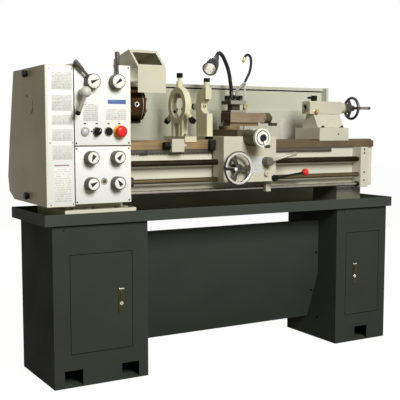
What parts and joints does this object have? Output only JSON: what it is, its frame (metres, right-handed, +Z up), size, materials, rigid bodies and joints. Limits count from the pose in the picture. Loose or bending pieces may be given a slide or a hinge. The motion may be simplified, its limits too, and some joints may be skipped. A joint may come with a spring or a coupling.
{
  "type": "metal-turning lathe",
  "caption": "Centre lathe on a two-cabinet stand with geared headstock, three-jaw chuck, carriage with compound slide, steady and follow rests, tailstock, work lamp and splash guard.",
  "frame": {"origin": "floor level, straight under the spindle axis, below the middle of the chip tray", "axes": "+X along the bed from the headstock to the tailstock, +Y to the back of the machine, +Z up"},
  "size_m": [1.785, 0.641, 1.3957],
  "materials": {
    "stand_paint": "satin grey-green paint",
    "splash_paint": "satin light grey-green paint",
    "cream_paint": "satin cream paint on cast iron",
    "cover_paint": "satin olive-cream paint on sheet",
    "cast_bed": "cream-painted casting with ground, oiled ways",
    "ground_steel": "ground and oiled",
    "dark_steel": "dark oiled steel",
    "chuck_steel": "dark oiled, one turned band",
    "knob_grey": "moulded grey-olive",
    "lever_steel": "dull steel with plastic grips",
    "black_plastic": "moulded black",
    "red_plastic": "moulded red",
    "belt_rubber": "matt",
    "motor_paint": "grey paint",
    "rest_paint": "olive-cream paint on cast iron",
    "pipe_brass": "brass tap, plated pipe and black spout"
  },
  "bodies": {
    "stand": {"left_cabinet": "stand_paint", "right_cabinet": "stand_paint", "front_panel": "stand_paint", "chip_tray": "stand_paint", "splash_guard": "splash_paint", "bed": "cast_bed", "end_bracket": "cream_paint", "headstock_case": "cream_paint", "gearbox_case": "cream_paint", "spindle_bearings": "ground_steel", "motor": "motor_paint", "drive_belts": "belt_rubber"},
    "left_door": {"left_door": "stand_paint"},
    "right_door": {"right_door": "stand_paint"},
    "end_cover": {"gear_cover": "cover_paint", "cover_knobs": "black_plastic"},
    "spindle": {"spindle": "ground_steel", "chuck_body": "chuck_steel"},
    "carriage": {"saddle": "cream_paint", "apron": "cream_paint", "follow_rest": "rest_paint", "work_lamp": "black_plastic", "coolant_pipe": "pipe_brass"},
    "bore_flap": {"bore_flap": "cover_paint"},
    "chuck_jaw_1": {"chuck_jaw_1": "ground_steel"},
    "chuck_jaw_2": {"chuck_jaw_2": "ground_steel"},
    "chuck_jaw_3": {"chuck_jaw_3": "ground_steel"},
    "chuck_guard": {"chuck_guard": "cream_paint"},
    "motor_pulley": {"motor_pulley": "dark_steel"},
    "input_pulley": {"input_pulley": "dark_steel"},
    "idler_gear": {"idler_gear": "ground_steel"},
    "feed_gear": {"feed_gear": "ground_steel"},
    "lead_screw": {"lead_screw": "dark_steel"},
    "feed_rod": {"feed_rod": "dark_steel"},
    "control_rod": {"control_rod": "ground_steel"},
    "speed_lever_left": {"speed_lever_left": "lever_steel"},
    "speed_lever_right": {"speed_lever_right": "lever_steel"},
    "direction_lever": {"direction_lever": "lever_steel"},
    "mode_switch": {"mode_switch": "black_plastic"},
    "jog_button": {"jog_button": "black_plastic"},
    "estop_button": {"estop_button": "red_plastic"},
    "gear_knob_1": {"gear_knob_1": "knob_grey"},
    "gear_knob_2": {"gear_knob_2": "knob_grey"},
    "gear_knob_3": {"gear_knob_3": "knob_grey"},
    "gear_knob_4": {"gear_knob_4": "knob_grey"},
    "carriage_wheel": {"carriage_wheel": "dark_steel"},
    "half_nut_lever": {"half_nut_lever": "lever_steel"},
    "start_lever": {"start_lever": "red_plastic"},
    "cross_slide": {"cross_slide": "dark_steel"},
    "cross_crank": {"cross_crank": "dark_steel"},
    "swivel_base": {"swivel_base": "ground_steel"},
    "top_slide": {"top_slide": "ground_steel"},
    "top_crank": {"top_crank": "dark_steel"},
    "tool_post": {"tool_post": "ground_steel"},
    "tool_lever": {"tool_lever": "lever_steel"},
    "steady_rest": {"steady_rest": "rest_paint"},
    "carriage_stop": {"carriage_stop": "cream_paint"},
    "tailstock": {"tailstock": "cream_paint"},
    "quill": {"quill": "ground_steel"},
    "tail_wheel": {"tail_wheel": "dark_steel"}
  },
  "joints": [
    {"name": "left_door_hinge", "type": "hinge", "parent": "stand", "child": "left_door", "pos_m": [-0.7852, -0.194, 0.336], "axis": [0, 0, -1], "range_deg": [0, 110]},
    {"name": "right_door_hinge", "type": "hinge", "parent": "stand", "child": "right_door", "pos_m": [0.8267, -0.194, 0.336], "axis": [0, 0, 1], "range_deg": [0, 110]},
    {"name": "end_cover_pull", "type": "slide", "parent": "stand", "child": "end_cover", "axis": [-1, 0, 0], "range_m": [0, 0.15]},
    {"name": "bore_flap_swing", "type": "hinge", "parent": "end_cover", "child": "bore_flap", "pos_m": [-0.874, 0.028, 1.167], "axis": [1, 0, 0], "range_deg": [0, 90]},
    {"name": "spindle_spin", "type": "hinge", "parent": "stand", "child": "spindle", "pos_m": [-0.64, 0, 1.137], "axis": [1, 0, 0], "continuous": true},
    {"name": "chuck_jaw_1_slide", "type": "slide", "parent": "spindle", "child": "chuck_jaw_1", "axis": [0, 1, 0], "range_m": [-0.01, 0.011]},
    {"name": "chuck_jaw_2_slide", "type": "slide", "parent": "spindle", "child": "chuck_jaw_2", "axis": [0, -0.5, 0.866], "range_m": [-0.01, 0.011]},
    {"name": "chuck_jaw_3_slide", "type": "slide", "parent": "spindle", "child": "chuck_jaw_3", "axis": [0, -0.5, -0.866], "range_m": [-0.01, 0.011]},
    {"name": "chuck_guard_hinge", "type": "hinge", "parent": "stand", "child": "chuck_guard", "pos_m": [-0.374, 0.14, 1.25], "axis": [-1, 0, 0], "range_deg": [0, 80]},
    {"name": "motor_pulley_spin", "type": "hinge", "parent": "stand", "child": "motor_pulley", "pos_m": [-0.8, 0.215, 0.83], "axis": [1, 0, 0], "continuous": true},
    {"name": "input_pulley_spin", "type": "hinge", "parent": "stand", "child": "input_pulley", "pos_m": [-0.8, 0.135, 1.072], "axis": [1, 0, 0], "continuous": true},
    {"name": "idler_gear_spin", "type": "hinge", "parent": "stand", "child": "idler_gear", "pos_m": [-0.775, -0.02949, 0.99503], "axis": [1, 0, 0], "continuous": true},
    {"name": "feed_gear_spin", "type": "hinge", "parent": "stand", "child": "feed_gear", "pos_m": [-0.775, -0.13, 0.925], "axis": [1, 0, 0], "continuous": true},
    {"name": "lead_screw_spin", "type": "hinge", "parent": "stand", "child": "lead_screw", "pos_m": [0.1, -0.135, 0.888], "axis": [1, 0, 0], "continuous": true},
    {"name": "feed_rod_spin", "type": "hinge", "parent": "stand", "child": "feed_rod", "pos_m": [0.1, -0.135, 0.813], "axis": [1, 0, 0], "continuous": true},
    {"name": "speed_lever_left_turn", "type": "hinge", "parent": "stand", "child": "speed_lever_left", "pos_m": [-0.683, -0.2, 1.219], "axis": [0, 1, 0], "range_deg": [-20, 60]},
    {"name": "speed_lever_right_turn", "type": "hinge", "parent": "stand", "child": "speed_lever_right", "pos_m": [-0.577, -0.2, 1.221], "axis": [0, 1, 0], "range_deg": [-40, 40]},
    {"name": "direction_lever_turn", "type": "hinge", "parent": "stand", "child": "direction_lever", "pos_m": [-0.722, -0.222, 1.176], "axis": [0, 1, 0], "range_deg": [-46, 20]},
    {"name": "mode_switch_turn", "type": "hinge", "parent": "stand", "child": "mode_switch", "pos_m": [-0.66, -0.195, 1.023], "axis": [0, 1, 0], "range_deg": [-70, 0]},
    {"name": "jog_button_press", "type": "slide", "parent": "stand", "child": "jog_button", "axis": [0, 1, 0], "range_m": [0, 0.004], "stiffness_N_per_m": 1200},
    {"name": "estop_button_press", "type": "slide", "parent": "stand", "child": "estop_button", "axis": [0, 1, 0], "range_m": [0, 0.006], "stiffness_N_per_m": 1500},
    {"name": "gear_knob_1_turn", "type": "hinge", "parent": "stand", "child": "gear_knob_1", "pos_m": [-0.69, -0.2, 0.92], "axis": [0, 1, 0], "range_deg": [-60, 60]},
    {"name": "gear_knob_2_turn", "type": "hinge", "parent": "stand", "child": "gear_knob_2", "pos_m": [-0.576, -0.2, 0.92], "axis": [0, 1, 0], "range_deg": [-60, 60]},
    {"name": "gear_knob_3_turn", "type": "hinge", "parent": "stand", "child": "gear_knob_3", "pos_m": [-0.69, -0.2, 0.816], "axis": [0, 1, 0], "range_deg": [-60, 60]},
    {"name": "gear_knob_4_turn", "type": "hinge", "parent": "stand", "child": "gear_knob_4", "pos_m": [-0.576, -0.2, 0.816], "axis": [0, 1, 0], "range_deg": [-60, 60]},
    {"name": "carriage_travel", "type": "slide", "parent": "stand", "child": "carriage", "axis": [1, 0, 0], "range_m": [-0.07, 0.15]},
    {"name": "carriage_wheel_turn", "type": "hinge", "parent": "carriage", "child": "carriage_wheel", "pos_m": [-0.0225, -0.233, 0.864], "axis": [0, 1, 0], "continuous": true},
    {"name": "half_nut_lever_turn", "type": "hinge", "parent": "carriage", "child": "half_nut_lever", "pos_m": [0.1465, -0.223, 0.889], "axis": [0, 1, 0], "range_deg": [0, 20]},
    {"name": "start_lever_turn", "type": "hinge", "parent": "carriage", "child": "start_lever", "pos_m": [0.1925, -0.209, 0.814], "axis": [0, 1, 0], "range_deg": [-15, 15]},
    {"name": "control_rod_turn", "type": "hinge", "parent": "stand", "child": "control_rod", "pos_m": [0.1, -0.135, 0.766], "axis": [1, 0, 0], "range_deg": [-15, 15]},
    {"name": "cross_slide_travel", "type": "slide", "parent": "carriage", "child": "cross_slide", "axis": [0, 1, 0], "range_m": [-0.01, 0.04]},
    {"name": "cross_crank_turn", "type": "hinge", "parent": "carriage", "child": "cross_crank", "pos_m": [0.061, -0.25, 0.995], "axis": [0, 1, 0], "continuous": true},
    {"name": "swivel_base_turn", "type": "hinge", "parent": "cross_slide", "child": "swivel_base", "pos_m": [0.065, -0.017, 1.04], "axis": [0, 0, 1], "range_deg": [-60, 5]},
    {"name": "top_slide_travel", "type": "slide", "parent": "swivel_base", "child": "top_slide", "axis": [-1, 0, 0], "range_m": [-0.03, 0.035]},
    {"name": "top_crank_turn", "type": "hinge", "parent": "top_slide", "child": "top_crank", "pos_m": [0.28, -0.017, 1.084], "axis": [1, 0, 0], "continuous": true},
    {"name": "tool_post_turn", "type": "hinge", "parent": "top_slide", "child": "tool_post", "pos_m": [0.089, -0.017, 1.13], "axis": [0, 0, 1], "continuous": true},
    {"name": "tool_lever_turn", "type": "hinge", "parent": "tool_post", "child": "tool_lever", "pos_m": [0.089, -0.017, 1.19], "axis": [0, 0, 1], "range_deg": [-60, 60]},
    {"name": "steady_rest_travel", "type": "slide", "parent": "stand", "child": "steady_rest", "axis": [1, 0, 0], "range_m": [-0.015, 0.04]},
    {"name": "carriage_stop_travel", "type": "slide", "parent": "stand", "child": "carriage_stop", "axis": [1, 0, 0], "range_m": [-0.03, 0.004]},
    {"name": "tailstock_travel", "type": "slide", "parent": "stand", "child": "tailstock", "axis": [1, 0, 0], "range_m": [-0.06, 0.06]},
    {"name": "quill_feed", "type": "slide", "parent": "tailstock", "child": "quill", "axis": [-1, 0, 0], "range_m": [0, 0.1]},
    {"name": "tail_wheel_turn", "type": "hinge", "parent": "tailstock", "child": "tail_wheel", "pos_m": [0.805, 0, 1.137], "axis": [1, 0, 0], "continuous": true}
  ],
  "couplings": [
    {"joint": "chuck_jaw_2_slide", "follows": "chuck_jaw_1_slide", "ratio": 1},
    {"joint": "chuck_jaw_3_slide", "follows": "chuck_jaw_1_slide", "ratio": 1},
    {"joint": "motor_pulley_spin", "follows": "spindle_spin", "ratio": -3.2632},
    {"joint": "input_pulley_spin", "follows": "spindle_spin", "ratio": -2},
    {"joint": "idler_gear_spin", "follows": "spindle_spin", "ratio": -0.70588},
    {"joint": "feed_gear_spin", "follows": "spindle_spin", "ratio": 1.6},
    {"joint": "lead_screw_spin", "follows": "spindle_spin", "ratio": 0.8},
    {"joint": "feed_rod_spin", "follows": "spindle_spin", "ratio": -0.4},
    {"joint": "carriage_wheel_turn", "follows": "carriage_travel", "rad_per_m": 314.16},
    {"joint": "control_rod_turn", "follows": "start_lever_turn", "ratio": 1},
    {"joint": "cross_crank_turn", "follows": "cross_slide_travel", "rad_per_m": -1256.6},
    {"joint": "top_crank_turn", "follows": "top_slide_travel", "rad_per_m": 1256.6},
    {"joint": "tail_wheel_turn", "follows": "quill_feed", "rad_per_m": 1256.6}
  ]
}
